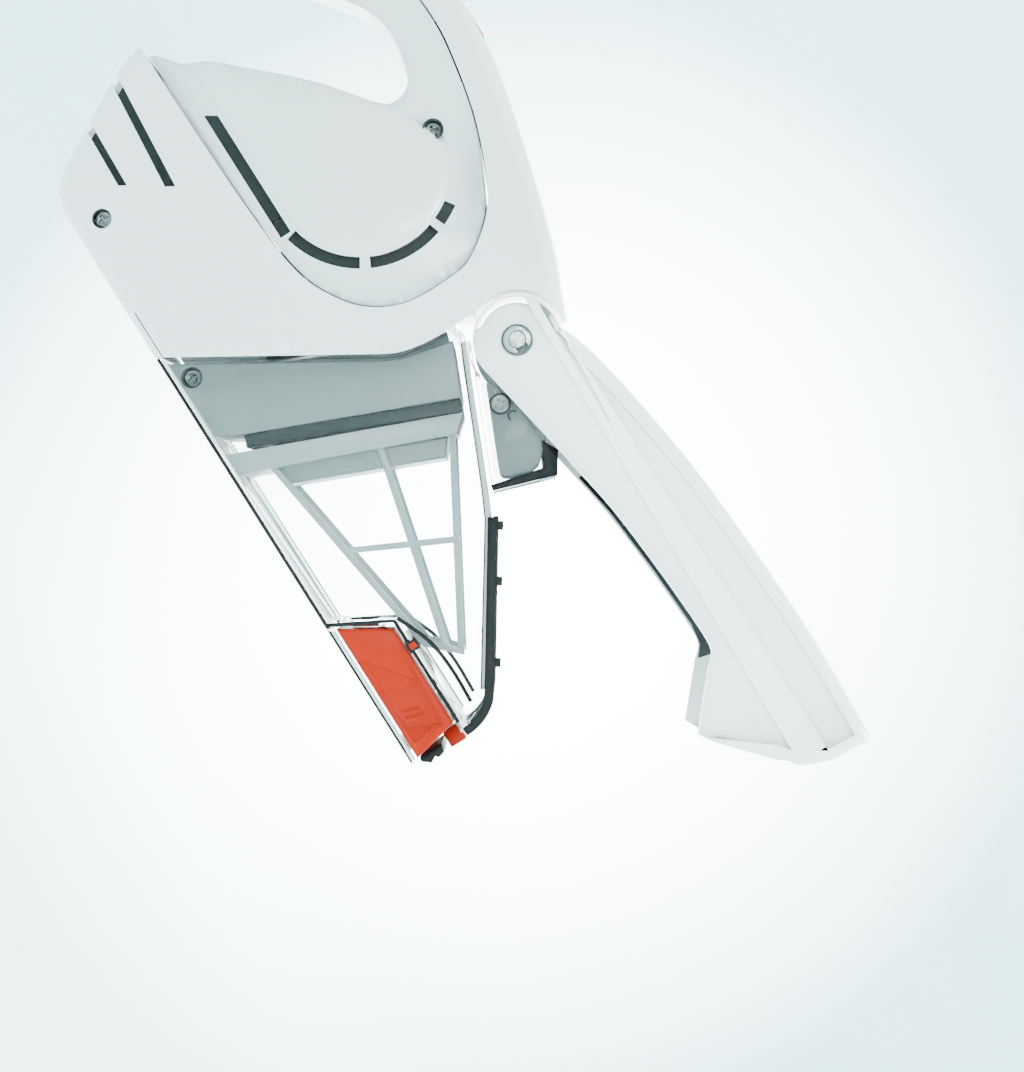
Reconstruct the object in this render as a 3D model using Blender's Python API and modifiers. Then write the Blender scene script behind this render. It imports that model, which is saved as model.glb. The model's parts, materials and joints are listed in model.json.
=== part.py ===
"""Handheld vacuum cleaner with a flip-open nozzle door, modelled in metres with +Z up.

It stands on its flat underside with the nose towards +X and the door fully open. Outlines are drawn
in millimetres in the XZ plane, and the origin is below the middle of the object, on its underside.
"""

import math

import bmesh
import bpy
from mathutils import Matrix, Vector

MM = 0.001
GAP = 0.3  # between pieces that touch

# Driving dimensions, in millimetres
BODY_HALF = 39.0  # half the width of the outer housing
HANDLE_HALF = 18.0  # half the width of the grip
POD_STEP = 2.0  # how far the motor pod lies inside the outer housing
WALL = 2.6
EDGE_ROUND = 6.5
DOOR_HALF = 37.0
DOOR_WALL = 2.4
BOWL_HALF = 32.0
BOWL_WALL = 2.0
TOOL_HALF = 31.5
TOOL_WALL = 2.0
REACH = 201.3  # from the middle to the tail's end, and to the open door's tip
PIVOT = (7.2, 116.1)  # the door's axle
DOOR_END = 16.3  # radius of the door's round end
RECESS = 18.2  # radius of the housing's recess round that end
TAPER_UP = (-0.45, 0.89)  # the housing narrows along this direction
TAPER_FROM, TAPER_TO = 120.0, 172.0
AIR_START = (-2.0, 49.4)  # where the fan's axis leaves the deck
AIR_AXIS = (0.923, -0.386)
FAN_RADIUS = 30.0
CELL_RADIUS = 9.1
CELL_LENGTH = 65.0
SCREW_HOLE = 3.7
SCREWS = {"rear": (-111.3, 11.1), "handle": (-76.3, 131.9)}
DECK_SCREW = (-45.3, 7.4)
BRACKET_SCREW = (23.5, 98.5)
VENT_CENTRE, VENT_RADIUS, VENT_HALF = (-77.5, 101.3), 35.6, 2.2
VENT_RUN = 64.9  # height of the vent's straight run


# ---------------------------------------------------------------- outlines

def arc(centre, radius, start, end, steps):
    """Points on a circle from one angle to another, in degrees."""
    angles = [math.radians(start + (end - start) * i / steps) for i in range(steps + 1)]
    return [(centre[0] + radius * math.cos(a), centre[1] + radius * math.sin(a)) for a in angles]


def smooth(points, steps=3):
    """A curve through the given points, from the first to the last."""
    padded = [points[0]] + list(points) + [points[-1]]
    found = []
    for a, b, c, d in zip(padded, padded[1:], padded[2:], padded[3:]):
        for i in range(steps):
            t = i / steps
            found.append(tuple(
                0.5 * (2 * b[k] + (c[k] - a[k]) * t + (2 * a[k] - 5 * b[k] + 4 * c[k] - d[k]) * t * t
                       + (3 * b[k] - a[k] - 3 * c[k] + d[k]) * t ** 3)
                for k in (0, 1)))
    return found + [points[-1]]


def inset(outline, depth):
    """The outline moved inwards by depth, with mitred corners."""
    count = len(outline)
    area = sum(outline[i - 1][0] * outline[i][1] - outline[i][0] * outline[i - 1][1] for i in range(count))
    side = 1 if area > 0 else -1
    moved = []
    for i, point in enumerate(outline):
        before, here, after = (Vector(outline[i - 1]), Vector(point), Vector(outline[(i + 1) % count]))
        one = (here - before).normalized()
        two = (after - here).normalized()
        normals = [Vector((-e.y, e.x)) * side for e in (one, two)]
        spread = max(1 + normals[0].dot(normals[1]), 0.5)
        moved.append(tuple(here + (normals[0] + normals[1]) * depth / spread))
    return moved


def from_deck(forward, up):
    """A point by its distance forward along the air path and up along the sloping deck."""
    along, across = AIR_AXIS
    return (AIR_START[0] + forward * along - up * across, AIR_START[1] + forward * across + up * along)


def housing_outline():
    """The side view of the housing with its handle, run on past its front, which is cut later."""
    rear = smooth([(-121, 0), (-131, 3.8), (-140, 16.8), (-148, 31), (-156, 46.5), (-158.6, 55)])
    back = smooth([(-158.6, 55), (-155, 61.5), (-148, 67), (-143, 76.5), (-134, 86.5), (-116, 105.8),
                   (-98, 120.8), (-95.4, 126), (-97.5, 131.2), (-103, 134), (-113.5, 136.1),
                   (-123, 135.3), (-131, 131.5), (-146, 120), (-160, 106.5), (-170, 92), (-176, 80)], 2)
    tail = smooth([(-176, 80), (-182.5, 72), (-191.5, 69.5), (-199.3, 76), (-REACH, 88), (-194, 113),
                   (-179.5, 136), (-160, 153), (-137, 163.5), (-116.8, 166.7), (-101.7, 166.9),
                   (-82, 164.7), (-50.8, 157.2), (-16.8, 147), (1.1, 139.6), (25, 128), (42, 105)], 2)
    return rear + back[1:] + tail[1:] + smooth([(42, 105), (45, 60), (40, 15), (20, 0)], 2)[1:]


def front_region():
    """All that lies forward of the housing's front edge and inside the recess round the door's end."""
    edge = [(-58.2, -30), (-58.2, 0), (-15, 70.9), (-11.7, 77.4), (-9.5, 89), (-9.3, 105)]
    return edge + arc(PIVOT, RECESS, 205, 78, 10) + [(14, 200), (90, 200), (90, -30)]


def pod_region():
    """The area inside the curved seam, closed beyond the housing's back."""
    return smooth([(-175, 57), (-137.1, 57), (-85.2, 58.5), (-57.4, 61.4), (-42.4, 67.7), (-32.2, 76.4),
                   (-26, 89.2), (-25.2, 106), (-27.8, 118.1), (-41.7, 133.8), (-68.7, 146.3),
                   (-95, 152.5), (-114.4, 154.3), (-137, 151.5), (-156, 142), (-172, 126.5),
                   (-184, 107), (-190, 88), (-191, 62)], 2)


def bowl_outline():
    """The dust bowl: sloping rear edge, top, mating edge and blunt nose."""
    top = [(-8.6, 99.5), (-5, 101), (48, 77.8), (57, 73.6), (82.7, 56.7), (110.4, 38.4)]
    return [(-57.4, 0), (-14.3, 70.6), (-11, 77.3), (-8.6, 89)] + top + smooth(
        [(110.4, 38.4), (116, 33), (118.3, 26)])[1:] + [(118.3, 0)]


def door_outline():
    """The open door: mating edge, notch, mouth, top and round end."""
    under = smooth([(57.4, 109), (79.3, 112.7), (108.6, 115.2), (134.2, 116.3), (142, 115.3),
                    (146.5, 111)], 2)
    nose = [(164.6, 95.1), (169.2, 97.6), (187.5, 113.7), (195.7, 120.4), (200.1, 131), (REACH, 147.2)]
    top = smooth([(198, 149), (155.8, 150.2), (117.8, 149), (79.8, 146.4), (41.8, 140.7), (20.9, 136)], 2)
    return under + nose + top + arc(PIVOT, DOOR_END, 75, 283, 12)


# ---------------------------------------------------------------- building tools

def material(name, color, roughness, metallic=0.0, alpha=1.0):
    found = bpy.data.materials.get(name)
    if found:
        return found
    made = bpy.data.materials.new(name)
    made.use_nodes = True
    shader = made.node_tree.nodes["Principled BSDF"]
    shader.inputs["Base Color"].default_value = (*color, 1)
    shader.inputs["Roughness"].default_value = roughness
    shader.inputs["Metallic"].default_value = metallic
    shader.inputs["Alpha"].default_value = alpha
    made.diffuse_color = (*color, alpha)
    return made


def store(obj, finish=None):
    """Puts a piece in the object's collection, or a cutter, which has no finish, in the cutters'."""
    for old in list(obj.users_collection):
        old.objects.unlink(obj)
    (PARTS if finish else CUTTERS).objects.link(obj)
    if finish:
        obj.data.materials.clear()
        obj.data.materials.append(finish())
    else:
        obj.hide_render = True
        obj.display_type = "WIRE"
    return obj


def plate(name, outline, near, far, rounding=0.0, finish=None, holes=()):
    """A flat outline in XZ given thickness from y=near to y=far, with rounded edges."""
    curve = bpy.data.curves.new(name, "CURVE")
    curve.dimensions = "2D"
    curve.fill_mode = "BOTH"
    for loop in (outline, *holes):
        spline = curve.splines.new("POLY")
        spline.points.add(len(loop) - 1)
        for point, (x, z) in zip(spline.points, loop):
            point.co = (x * MM, z * MM, 0, 1)
        spline.use_cyclic_u = True
    curve.bevel_depth = rounding * MM
    curve.bevel_resolution = 1
    curve.offset = -rounding * MM
    curve.extrude = ((far - near) / 2 - rounding) * MM
    obj = bpy.data.objects.new(name, curve)
    obj.rotation_euler = (math.pi / 2, 0, 0)
    obj.location = (0, (near + far) / 2 * MM, 0)
    return store(as_mesh(obj), finish)


def as_mesh(obj):
    """The same shape as a mesh object in world coordinates, with its caps welded."""
    bpy.context.scene.collection.objects.link(obj)
    bpy.context.view_layer.update()
    evaluated = obj.evaluated_get(bpy.context.evaluated_depsgraph_get())
    mesh = bpy.data.meshes.new_from_object(evaluated)
    mesh.transform(obj.matrix_world)
    bm = bmesh.new()
    bm.from_mesh(mesh)
    bmesh.ops.remove_doubles(bm, verts=bm.verts, dist=2e-6)
    bmesh.ops.recalc_face_normals(bm, faces=bm.faces)
    bm.to_mesh(mesh)
    bm.free()
    made = bpy.data.objects.new(obj.name, mesh)
    bpy.context.scene.collection.objects.link(made)
    source, name = obj.data, obj.name
    bpy.data.objects.remove(obj)
    bpy.data.curves.remove(source)
    made.name = name
    return made


def box(name, low, high, finish=None, soften=0.0):
    mesh = bpy.data.meshes.new(name)
    bm = bmesh.new()
    bmesh.ops.create_cube(bm, size=1)
    size = [(b - a) * MM for a, b in zip(low, high)]
    middle = [(a + b) / 2 * MM for a, b in zip(low, high)]
    bm.transform(Matrix.Translation(middle) @ Matrix.Diagonal((*size, 1)))
    bm.to_mesh(mesh)
    bm.free()
    obj = store(bpy.data.objects.new(name, mesh), finish)
    if soften:
        bevel = obj.modifiers.new("soften", "BEVEL")
        bevel.width = soften * MM
        bevel.segments = 2
    return obj


def cylinder(name, centre, radius, near, far, finish=None, sides=24):
    """A cylinder along Y."""
    mesh = bpy.data.meshes.new(name)
    bm = bmesh.new()
    bmesh.ops.create_cone(bm, cap_ends=True, segments=sides, radius1=radius * MM, radius2=radius * MM,
                          depth=(far - near) * MM)
    place = Matrix.Translation((centre[0] * MM, (near + far) / 2 * MM, centre[1] * MM))
    bm.transform(place @ Matrix.Rotation(math.pi / 2, 4, "X"))
    bm.to_mesh(mesh)
    bm.free()
    return store(bpy.data.objects.new(name, mesh), finish)


def turned(name, profile, finish=None, steps=24, spot=AIR_START, axis=AIR_AXIS):
    """A closed profile of (radius, distance along the axis) points, turned about that axis."""
    mesh = bpy.data.meshes.new(name)
    count = len(profile)
    area = sum(profile[i - 1][0] * profile[i][1] - profile[i][0] * profile[i - 1][1] for i in range(count))
    if area > 0:
        profile = profile[::-1]
    rings = [(r * MM, 0, h * MM) for r, h in profile]
    edges = [(i, (i + 1) % count) for i in range(count)]
    mesh.from_pydata(rings, edges, [])
    obj = store(bpy.data.objects.new(name, mesh), finish)
    screw = obj.modifiers.new("turn", "SCREW")
    screw.steps = screw.render_steps = steps
    screw.merge_threshold = 0.00001
    screw.use_merge_vertices = True
    obj.location = (spot[0] * MM, 0, spot[1] * MM)
    obj.rotation_euler = Vector((axis[0], 0, axis[1])).to_track_quat("Z", "Y").to_euler()
    return obj


def combine(target, *others, how="DIFFERENCE"):
    for other in others:
        modifier = target.modifiers.new(other.name, "BOOLEAN")
        modifier.operation = how
        modifier.object = other
    return target


def weld(obj):
    """Closes the hairline gaps that cuts leave along the taper's slices."""
    modifier = obj.modifiers.new("weld", "WELD")
    modifier.merge_threshold = 0.00006
    return obj


def narrow_to_grip(obj):
    """Slices the mesh across the taper and moves its points inwards, towards the grip's width."""
    direction = Vector((TAPER_UP[0], 0, TAPER_UP[1])).normalized()
    bm = bmesh.new()
    bm.from_mesh(obj.data)
    slices = 8
    for i in range(slices + 1):
        height = TAPER_FROM + (TAPER_TO - TAPER_FROM) * i / slices
        bmesh.ops.bisect_plane(bm, geom=bm.verts[:] + bm.edges[:] + bm.faces[:], dist=1e-7,
                               plane_co=direction * height * MM, plane_no=direction)
    for vert in bm.verts:
        t = (vert.co.dot(direction) / MM - TAPER_FROM) / (TAPER_TO - TAPER_FROM)
        t = min(max(t, 0), 1)
        step = round(t * slices) / slices if abs(t * slices - round(t * slices)) < 1e-3 else t
        eased = step * step * (3 - 2 * step)
        vert.co.y *= 1 - (BODY_HALF - HANDLE_HALF) / BODY_HALF * eased
    bm.to_mesh(obj.data)
    bm.free()
    return obj


# ---------------------------------------------------------------- finishes

def white():
    return material("white_plastic", (0.88, 0.90, 0.90), 0.22)


def pod_white():
    return material("pod_plastic", (0.80, 0.82, 0.82), 0.28)


def grey():
    return material("grey_plastic", (0.62, 0.66, 0.66), 0.45)


def dark():
    return material("dark_plastic", (0.10, 0.11, 0.11), 0.5)


def black_rubber():
    return material("black_rubber", (0.02, 0.02, 0.02), 0.7)


def orange():
    return material("orange_plastic", (0.58, 0.05, 0.004), 0.4)


def clear():
    return material("clear_plastic", (0.9, 0.95, 0.95), 0.05, alpha=0.25)


def cage_plastic():
    return material("cage_plastic", (0.75, 0.79, 0.79), 0.4)


def steel():
    return material("steel", (0.6, 0.6, 0.6), 0.25, 1.0)


def copper():
    return material("copper", (0.8, 0.45, 0.25), 0.3, 1.0)


def board_green():
    return material("board_green", (0.02, 0.2, 0.08), 0.5)


def cell_wrap():
    return material("cell_wrap", (0.05, 0.15, 0.35), 0.4)


def filter_paper():
    return material("filter_paper", (0.85, 0.84, 0.8), 0.9)


# ---------------------------------------------------------------- housing and pod

def half_box(name, side):
    reach = REACH + 20
    y = sorted((side * GAP / 2, side * (BODY_HALF + 10)))
    return box(name, (-reach, y[0], -20), (reach, y[1], 220))


def vent_cutters(side, tag):
    """Cutters for the vent round the pod: its straight run, then three stretches of its bend."""
    outer, inner = VENT_RADIUS + VENT_HALF, VENT_RADIUS - VENT_HALF
    loops = [[(-124.3, VENT_RUN - VENT_HALF), (-70.5, VENT_RUN - VENT_HALF), (-70.5, VENT_RUN + VENT_HALF),
              (-121.4, VENT_RUN + VENT_HALF)]]
    for start, end in ((-77, -32), (-26, 18), (23, 36)):
        loops.append(arc(VENT_CENTRE, outer, start, end, 6) + arc(VENT_CENTRE, inner, end, start, 6))
    y = sorted((side * 23.7, side * 46.3))
    return [plate(f"vent_cut_{tag}_{i}", loop, y[0], y[1]) for i, loop in enumerate(loops)]


def rear_vent_cutters(side, tag):
    y = sorted((side * 24, side * 46))
    upper = [(-165, 41.5), (-108.6, 36.9), (-106.6, 40.3), (-165, 44.6)]
    lower = [(-165, 24.2), (-118.2, 22.6), (-116.5, 25.4), (-165, 27)]
    return [plate(f"rear_vent_cut_{tag}_{i}", loop, y[0], y[1]) for i, loop in enumerate((upper, lower))]


def screw_side(centre):
    """Half the pod's width where a screw sits."""
    t = (centre[0] * TAPER_UP[0] + centre[1] * TAPER_UP[1]) / math.hypot(*TAPER_UP)
    t = min(max((t - TAPER_FROM) / (TAPER_TO - TAPER_FROM), 0), 1)
    return BODY_HALF - (BODY_HALF - HANDLE_HALF) * t * t * (3 - 2 * t)


def add_boss(shell, tag, centre, side, sink):
    """The near half has a deep round recess over its boss, and the far half a long boss up to it."""
    depth = screw_side(centre)
    if side < 0:
        boss = cylinder(f"boss_{tag}_near", centre, SCREW_HOLE + 1.6, -depth + sink, -depth + 13)
        combine(shell, boss, how="UNION")
        combine(shell, cylinder(f"recess_{tag}", centre, SCREW_HOLE, -depth - 8, -depth + 9, sides=20))
        combine(shell, cylinder(f"shank_hole_{tag}", centre, 1.8, -depth + 5, -depth + 16, sides=12))
    else:
        boss = cylinder(f"boss_{tag}_far", centre, SCREW_HOLE + 1, -depth + 13 + GAP, depth - sink)
        combine(shell, boss, how="UNION")
        combine(shell, cylinder(f"pilot_{tag}", centre, 1.8, -depth + 8, -depth + 26, sides=12))


def housing_layer(name, sink, finish=None):
    """The housing's whole shape, or a smaller one inside it that lies deeper by sink."""
    half = BODY_HALF - sink
    layer = plate(name, inset(housing_outline(), sink), -half, half, EDGE_ROUND, finish)
    narrow_to_grip(layer)
    wall = -WALL if finish is None else 0
    front = plate(f"{name}_front", inset(front_region(), wall), -60, 60)
    return combine(layer, front)


def housing():
    for side, tag in ((-1, "left"), (1, "right")):
        shell = housing_layer(f"housing_{tag}", 0, white)
        opening = plate(f"housing_opening_{tag}", [(-76, WALL), (-50, WALL), (-8, 74), (-6, 96), (-26, 96)],
                        -BODY_HALF + WALL, BODY_HALF - WALL)
        seam = plate(f"seam_{tag}", inset(pod_region(), -GAP / 2), -60, 60)
        switch_slot = box(f"switch_slot_{tag}", (-116.37, -6.31, 157.3), (-86.41, 6.31, 175))
        combine(shell, half_box(f"keep_housing_{tag}", side), how="INTERSECT")
        combine(shell, housing_layer(f"housing_inside_{tag}", WALL), opening, seam, switch_slot)
        combine(shell, *rear_vent_cutters(side, tag))
        add_boss(shell, f"rear_{tag}", SCREWS["rear"], side, 1.6)

        pod = housing_layer(f"motor_pod_{tag}", POD_STEP, pod_white)
        keep = plate(f"keep_pod_{tag}", inset(pod_region(), GAP / 2), -60, 60)
        combine(pod, half_box(f"keep_pod_half_{tag}", side), keep, how="INTERSECT")
        combine(pod, housing_layer(f"pod_inside_{tag}", POD_STEP + WALL))
        weld(pod)
        combine(pod, *vent_cutters(side, tag))
        add_boss(pod, f"handle_{tag}", SCREWS["handle"], side, 4.3)


def screw(name, centre, seat, length=14.0):
    """A round-headed screw along Y whose head rests at y=seat, with a crossed recess."""
    body = cylinder(name, centre, 3.2, seat - 2.4, seat, steel, 20)
    combine(body, cylinder(f"{name}_shank", centre, 1.4, seat - 1, seat + length, sides=12), how="UNION")
    for index, (dx, dz) in enumerate(((1.9, 0.45), (0.45, 1.9))):
        slot = box(f"{name}_slot_{index}", (centre[0] - dx, seat - 4, centre[1] - dz),
                   (centre[0] + dx, seat - 1.2, centre[1] + dz))
        combine(body, slot)
    return body


def housing_screws():
    for tag, centre in SCREWS.items():
        screw(f"housing_screw_{tag}", centre, -screw_side(centre) + 9 - GAP)


# ---------------------------------------------------------------- air path

def filter_deck():
    """The grey tray that plugs into the back of the dust bowl."""
    outline = [(-54, 3), (-22.5, 3), from_deck(0, -45), from_deck(0, 41.5), (-5.5, 96.2), (-7.5, 88),
               (-10.3, 76.2), (-13.5, 69.6)]
    half = BOWL_HALF - BOWL_WALL - GAP
    deck = plate("filter_deck", outline, -half, half, 0.6, grey)
    hollow = [(-70, 5), (-24, 5), from_deck(-2.5, -42), from_deck(-2.5, 38.5), (-8, 92), (-40, 92)]
    combine(deck, plate("deck_hollow", hollow, -half + 2.4, half - 2.4))
    opening = [from_deck(-6, -34), from_deck(4, -34), from_deck(4, 34), from_deck(-6, 34)]
    combine(deck, plate("deck_opening", opening, -22, 22))
    combine(deck, cylinder("deck_boss", DECK_SCREW, SCREW_HOLE + 1.2, -half + 0.6, -half + 11), how="UNION")
    combine(deck, cylinder("deck_recess", DECK_SCREW, SCREW_HOLE, -half - 6, -half + 7, sides=20))
    combine(deck, cylinder("deck_shank_hole", DECK_SCREW, 1.8, -half + 4, -half + 14, sides=12))
    screw("deck_screw", DECK_SCREW, -half + 7 - GAP, 9)


def deck_gasket():
    outline = [from_deck(GAP, -40), from_deck(5, -40), from_deck(5, 41), from_deck(GAP, 41)]
    gasket = plate("deck_gasket", outline, -28, 28, 0, dark)
    window = [from_deck(-2, -33), from_deck(8, -33), from_deck(8, 35), from_deck(-2, 35)]
    combine(gasket, plate("gasket_window", window, -21, 21))


def pleated_filter():
    """The fine filter behind the flange, folded into pleats across the air path."""
    pleats, low, high = 10, -32.0, 32.0
    step = (high - low) / pleats
    back = [from_deck(-14 if i % 2 else -5, low + step * i) for i in range(pleats + 1)]
    front = [from_deck(-16.5 if i % 2 else -7.5, low + step * i) for i in range(pleats + 1)]
    plate("pleated_filter", back + front[::-1], -20.5, 20.5, 0, filter_paper)


def filter_frame():
    """The filter's flange and its open cage, in one moulding."""
    half = BOWL_HALF - BOWL_WALL - GAP
    floor = BOWL_WALL + GAP
    low = from_deck(5.4, -46)
    flange = plate("filter_frame", [(low[0], floor), (low[0] + 8.5, floor), from_deck(12.7, 37.5),
                                    from_deck(5.4, 41)], -half, half, 0, cage_plastic)
    window = [from_deck(0, -31), from_deck(20, -31), from_deck(20, 33), from_deck(0, 33)]
    combine(flange, plate("flange_window", window, -20.2, 20.2))
    back_low, back_high = Vector(from_deck(10, -34)), Vector(from_deck(10, 36))
    tip_low, tip_high = Vector((83.5, 27.5)), Vector((93, 37.5))

    def spot(along, up):
        """A point on the cage's side, from 0 to 1 along it and up it."""
        low, high = back_low.lerp(tip_low, along), back_high.lerp(tip_high, along)
        return low.lerp(high, up)

    def window_of(start, end, low, high):
        loop = [tuple(spot(*place)) for place in ((start, low), (end, low), (end, high), (start, high))]
        return inset(loop, 1.25)

    rows, columns = (0.0, 0.6, 1.0), (0.0, 0.5, 1.0)
    windows = [window_of(start, end, low, high) for start, end in zip(columns, columns[1:])
               for low, high in zip(rows, rows[1:])]
    edge = [tuple(spot(*place)) for place in ((0, 0), (1, 0), (1, 1), (0, 1))]
    for tag, near, far in (("near", -23.0, -20.8), ("far", 20.8, 23.0)):
        combine(flange, plate(f"cage_side_{tag}", inset(edge, -1.25), near, far, holes=windows), how="UNION")
    for index, place in enumerate(((1, 0), (1, 1), (0.5, 0), (0.5, 1))):
        bar = cylinder(f"cage_bar_{index}", tuple(spot(*place)), 1.0, -21.9, 21.9, sides=8)
        combine(flange, bar, how="UNION")


def fan_and_motor():
    fan_back, fan_front = -47.0, -28.0
    turned("fan_housing", [(12, fan_front), (FAN_RADIUS, fan_front), (FAN_RADIUS, fan_back + 2.6),
                           (FAN_RADIUS - 2, fan_back + 2.6), (FAN_RADIUS - 2, fan_front - 2),
                           (12, fan_front - 2)], dark, 32)
    turned("motor_mount", [(4, fan_back + 2.3), (FAN_RADIUS, fan_back + 2.3), (FAN_RADIUS, fan_back),
                           (4, fan_back)], grey, 32)
    can_front, can_back = fan_back - GAP, fan_back - 50
    turned("motor_can", [(3, can_front), (17.5, can_front), (17.5, can_back), (3, can_back),
                         (3, can_back + 1.6), (15.9, can_back + 1.6), (15.9, can_front - 1.6),
                         (3, can_front - 1.6)], steel, 28)
    turned("motor_armature", [(1.0, can_back - 3), (1.6, can_back - 3), (1.6, can_back + 5),
                              (12.5, can_back + 5), (12.5, can_front - 6), (1.6, can_front - 6),
                              (1.6, fan_front - 5), (1.0, fan_front - 5)], copper)
    blade_height = 9.0
    hub = turned("impeller", [(2, fan_front - 15.6), (25, fan_front - 15.6), (25, fan_front - 14.2),
                              (6, fan_front - 14.2), (6, fan_front - 6), (2, fan_front - 6)], cage_plastic)
    blades = 9
    centre = from_deck(fan_front - 15 + blade_height / 2, 0)
    turn = Vector((AIR_AXIS[0], 0, AIR_AXIS[1])).to_track_quat("Z", "Y").to_matrix().to_4x4()
    for index in range(blades):
        blade = box(f"blade_{index}", (4.5, -0.7, -blade_height / 2), (24, 0.7, blade_height / 2))
        blade.data.transform(Matrix.Translation((centre[0] * MM, 0, centre[1] * MM)) @ turn
                             @ Matrix.Rotation(math.tau * index / blades, 4, "Z"))
        combine(hub, blade, how="UNION")


# ---------------------------------------------------------------- power and switch

def battery_cells():
    pitch = 2 * CELL_RADIUS + 1.0
    rows = [(-94, 13.5), (-94 + pitch, 13.5), (-94 + pitch / 2, 13.5 + pitch * 0.87)]
    for index, spot in enumerate(rows):
        cylinder(f"battery_cell_{index + 1}", spot, CELL_RADIUS, -CELL_LENGTH / 2, CELL_LENGTH / 2,
                 cell_wrap)


def electrics():
    box("circuit_board", (-148, -12, 146), (-120, 12, 147.6), board_green)
    box("switch_body", (-113, -5.5, 149.5), (-90, 5.5, 159), dark, 0.4)
    charging_socket()
    slider = plate("power_slider", [(-113, 163.6), (-97, 163.6), (-97, 167.4), (-99, 168.2),
                                    (-111, 168.2), (-113, 167.4)], -5.5, 5.5, 0.4, orange)
    stem = box("slider_stem", (-108, -2, 159.5), (-102, 2, 165))
    combine(slider, stem, how="UNION")


def charging_socket():
    """The charging jack, a tube that opens at the tail's lower end."""
    radius, wall, low, high = 3.4, 1.2, 77, 90
    profile = [(radius - wall, low), (radius, low), (radius, high), (0.001, high), (0.001, high - 1.5),
               (radius - wall, high - 1.5)]
    turned("charging_socket", profile, dark, 16, (-188.5, 0), (0, 1))


# ---------------------------------------------------------------- dust bowl

def dust_bowl():
    outline = bowl_outline()
    bowl = plate("dust_bowl", outline, -BOWL_HALF, BOWL_HALF, 1.5, clear)
    half = BOWL_HALF - BOWL_WALL
    inside = [(-75, BOWL_WALL), (57.2, BOWL_WALL), (70.4, 23.8), (116.3, 23.8), (116.3, 27), (114.3, 31.8),
              (109, 36.4), (81.6, 54.5), (56, 71.3), (47, 75.7), (-5.5, 98.6), (-30, 98.6)]
    combine(bowl, plate("bowl_inside", inside, -half, half))
    combine(bowl, plate("tool_pocket", [(72.2, 21.8), (60.2, 2.3), (130, 2.3), (130, 21.8)], -50, 50))
    mouth = [(54.5, 70), (57, 84), (122, 44), (122, 30), (112, 30)]
    combine(bowl, plate("bowl_mouth", mouth, -half, half))
    combine(bowl, box("bowl_inlet", (112, -24, 25), (130, 24, 34)))
    combine(bowl, box("bowl_duct_window", (50, -24, 6.2), (80, 24, 17)))
    combine(bowl, box("lip_trim", (114.3, -50, -5), (130, 50, 2.6)))


def bowl_seal():
    """The rubber lip along the bowl's mating edge, a frame with small tabs standing on it."""
    edge = [(57, 74), (82.7, 57.1), (110.2, 39), (114.5, 35.6)]
    lift = [(x + 1.0, z + 1.9) for x, z in edge]
    seat = [(x + 0.1, z + 0.3) for x, z in edge]
    seal = plate("bowl_seal", seat + lift[::-1], -BOWL_HALF + 0.4, BOWL_HALF - 0.4, 0, black_rubber)
    hole = [(61, 60), (64, 80), (118, 46), (108, 30)]
    combine(seal, plate("seal_hole", hole, -27.4, 27.4))
    run = Vector((edge[2][0] - edge[0][0], edge[2][1] - edge[0][1])).normalized()
    for index, t in enumerate((1.5, 22, 52)):
        start = Vector(edge[0]) + Vector((1.0, 1.2)) + run * t
        rise = Vector((-run.y, run.x)) * 2.6
        tab = [start, start + run * 3.4, start + run * 3.4 + rise, start + rise]
        combine(seal, plate(f"seal_tab_{index}", [tuple(p) for p in tab], -BOWL_HALF + 0.4,
                            -BOWL_HALF + 3.4), how="UNION")


def crevice_tool():
    """The slide-out tool, a wedge-ended duct, with its catch tab."""
    outline = [(61.5, 3.1), (72.9, 21.2), (113.8, 21.2), (117.8, 3.1)]
    tool = plate("crevice_tool", outline, -TOOL_HALF, TOOL_HALF, 0.8, orange)
    inner = [(40, 5.0), (130, 5.0), (130, 19.2), (60, 19.2)]
    combine(tool, plate("tool_duct", inner, -TOOL_HALF + TOOL_WALL, TOOL_HALF - TOOL_WALL))
    thumb = [(90, 5), (106, 5), (112, 17.5), (95, 17.5)]
    for side, tag in ((-1, "near"), (1, "far")):
        y = sorted((side * (TOOL_HALF - 0.7), side * (TOOL_HALF + 3)))
        combine(tool, plate(f"thumb_recess_{tag}", thumb, y[0], y[1]))
    box("tool_catch", (115.8, -9, 14.5), (122.4, 9, 21.3), orange, 0.4)


def hinge_box():
    """The clear open-topped box under the axle that holds the two brackets."""
    outline = [(-2.5, 101.8), (49, 79.3), (56, 101.5), (52, 105), (24, 103.2), (20, 101)] + arc(
        PIVOT, RECESS + 0.4, 305, 240, 4)
    tray = plate("hinge_box", outline, -29.5, 29.5, 0.6, clear)
    hollow = [(2, 101.5), (47.6, 81.7), (53.8, 101), (56, 125), (0, 125)]
    combine(tray, plate("hinge_box_hollow", hollow, -27.7, 27.7))
    combine(tray, cylinder("bracket_screw_hole", BRACKET_SCREW, SCREW_HOLE, -35, -26, sides=20))


def hinge_brackets():
    lower = arc((43.5, 93.5), 6.5, -125, 40, 6)
    outline = arc(PIVOT, 8, 60, 235, 8) + [(12, 99.6)] + lower
    for side, tag in ((-1, "left"), (1, "right")):
        y = sorted((side * 27.4, side * 24.6))
        bracket = plate(f"hinge_bracket_{tag}", outline, y[0], y[1], 0, grey)
        combine(bracket, cylinder(f"bracket_eye_{tag}", PIVOT, 3.3, y[0] - 4, y[1] + 4, sides=20))
        combine(bracket, cylinder(f"bracket_hole_{tag}", BRACKET_SCREW, 1.8, y[0] - 4, y[1] + 4, sides=12))
    screw("bracket_screw", BRACKET_SCREW, -27.7, 8)


# ---------------------------------------------------------------- door

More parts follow.
